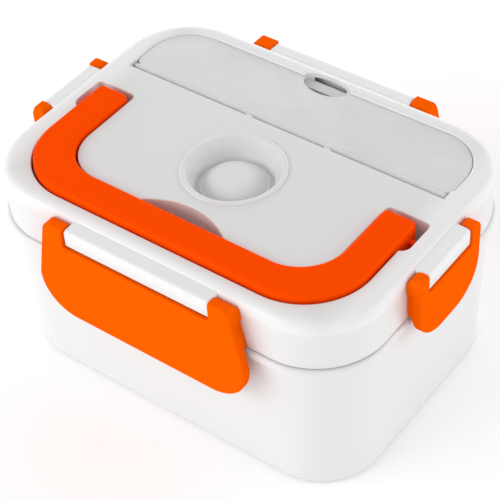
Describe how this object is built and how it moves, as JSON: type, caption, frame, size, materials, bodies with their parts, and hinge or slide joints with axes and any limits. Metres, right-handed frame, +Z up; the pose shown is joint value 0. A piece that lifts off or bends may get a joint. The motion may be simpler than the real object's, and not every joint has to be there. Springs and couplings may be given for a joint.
{
  "type": "electric lunch box",
  "caption": "Portable heated lunch box: tapered white base, deep lift-off lid with snap latches, folding carry handle, clear utensil cover, vent plug and steel food container.",
  "frame": {"origin": "centre of the footprint, on the plane that the rubber feet rest on", "axes": "+Z up; +X along the long side; -Y is the front, the long side where the bar of the folded handle lies; the power inlet is in the back wall (+Y)"},
  "size_m": [0.2276, 0.1728, 0.1164],
  "materials": {
    "white_plastic": "smooth moulded polypropylene, soft gloss",
    "white_plastic_matt": "plain moulded polypropylene",
    "orange_plastic": "smooth moulded plastic, soft gloss",
    "orange_plastic_light": "smooth moulded plastic, soft gloss, a little lighter than the handle",
    "clear_plastic": "clear moulded plastic",
    "white_silicone": "satin silicone",
    "grey_rubber": "matt rubber",
    "tray_plastic": "plain moulded polypropylene",
    "stainless_steel": "brushed and deep drawn",
    "spring_steel": "rolled strip",
    "screw_steel": "zinc plated",
    "aluminium": "satin",
    "brass": "bright",
    "black_plastic": "moulded, fine grain",
    "fuse_body": "plain",
    "wire_insulation": "silicone sleeve"
  },
  "bodies": {
    "base": {"base_shell": "white_plastic", "bottom_cover": "white_plastic_matt", "bottom_cover_screws": "screw_steel", "rubber_feet": "grey_rubber", "heating_tub": "white_plastic_matt", "heater_plate": "aluminium", "heater_seal": "grey_rubber", "ptc_element": "aluminium", "ptc_clamp": "spring_steel", "clamp_screws": "screw_steel", "thermostat": "black_plastic", "thermal_fuse": "fuse_body", "power_inlet": "black_plastic", "inlet_pins": "brass", "wire_live": "wire_insulation", "wire_link": "wire_insulation", "wire_neutral": "wire_insulation"},
    "container": {"food_container": "stainless_steel"},
    "tray": {"side_tray": "tray_plastic"},
    "lid": {"lid_shell": "white_plastic", "lid_liner": "white_plastic_matt", "lid_seal": "white_silicone"},
    "handle": {"handle": "orange_plastic"},
    "front_latch": {"latch_front": "orange_plastic_light"},
    "back_latch": {"latch_back": "orange_plastic_light"},
    "right_latch": {"latch_right": "orange_plastic_light"},
    "left_latch": {"latch_left": "orange_plastic_light"},
    "cover": {"utensil_cover": "clear_plastic"},
    "plug": {"vent_plug": "white_silicone"},
    "spoon": {"spoon": "white_plastic_matt"}
  },
  "joints": [
    {"name": "container_lift", "type": "slide", "parent": "base", "child": "container", "axis": [0, 0, 1], "range_m": [0, 0.075]},
    {"name": "tray_lift", "type": "slide", "parent": "container", "child": "tray", "axis": [0, 0, 1], "range_m": [0, 0.045]},
    {"name": "lid_lift", "type": "slide", "parent": "tray", "child": "lid", "axis": [0, 0, 1], "range_m": [0, 0.06]},
    {"name": "handle_swing", "type": "hinge", "parent": "lid", "child": "handle", "pos_m": [0, -0.0015, 0.108], "axis": [-1, 0, 0], "range_deg": [0, 95]},
    {"name": "front_latch_swing", "type": "hinge", "parent": "lid", "child": "front_latch", "pos_m": [0, -0.0822, 0.108], "axis": [-1, 0, 0], "range_deg": [0, 100]},
    {"name": "back_latch_swing", "type": "hinge", "parent": "lid", "child": "back_latch", "pos_m": [0, 0.0822, 0.108], "axis": [1, 0, 0], "range_deg": [0, 100]},
    {"name": "right_latch_swing", "type": "hinge", "parent": "lid", "child": "right_latch", "pos_m": [0.1101, 0, 0.108], "axis": [0, -1, 0], "range_deg": [0, 100]},
    {"name": "left_latch_swing", "type": "hinge", "parent": "lid", "child": "left_latch", "pos_m": [-0.1101, 0, 0.108], "axis": [0, 1, 0], "range_deg": [0, 100]},
    {"name": "cover_swing", "type": "hinge", "parent": "lid", "child": "cover", "pos_m": [0, 0.0306, 0.1103], "axis": [1, 0, 0], "range_deg": [0, 100]},
    {"name": "plug_lift", "type": "slide", "parent": "lid", "child": "plug", "axis": [0, 0, 1], "range_m": [0, 0.012]},
    {"name": "spoon_lift", "type": "slide", "parent": "lid", "child": "spoon", "axis": [0, 0, 1], "range_m": [0, 0.023]}
  ],
  "couplings": [
    {"joint": "spoon_lift", "follows": "cover_swing", "m_per_rad": 0.012}
  ]
}
